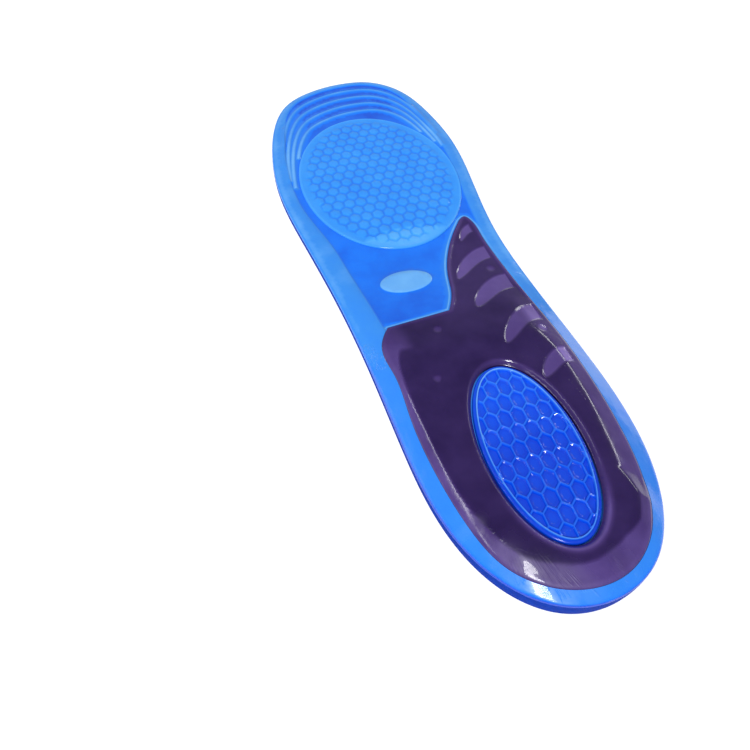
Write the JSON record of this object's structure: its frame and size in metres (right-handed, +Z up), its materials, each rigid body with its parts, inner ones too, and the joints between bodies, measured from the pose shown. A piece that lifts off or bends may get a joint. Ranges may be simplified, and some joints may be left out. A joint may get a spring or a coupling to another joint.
{
  "type": "cushioned insole",
  "caption": "Full-length gel shoe insole: napped fabric cover, dished heel cup, firm heel and arch insert, honeycomb heel and forefoot pads.",
  "frame": {"origin": "on the floor, under the middle of the bounding box, with the insole lying on its fabric face", "axes": "+Y from heel to toe, +X towards the arch side, +Z up out of the gel underside"},
  "size_m": [0.0898, 0.2812, 0.011],
  "materials": {
    "cover_fabric": "short mottled nap",
    "film": "thin matt adhesive film",
    "blue_gel": "glossy translucent gel",
    "purple_gel": "glossy firm gel",
    "deep_blue_gel": "glossy soft gel",
    "light_blue_gel": "glossy soft gel"
  },
  "bodies": {
    "root": {"top_cover": "cover_fabric", "bonding_film": "film", "gel_body": "blue_gel", "support_insert": "purple_gel", "heel_pad": "deep_blue_gel", "forefoot_pad": "light_blue_gel"}
  },
  "joints": []
}
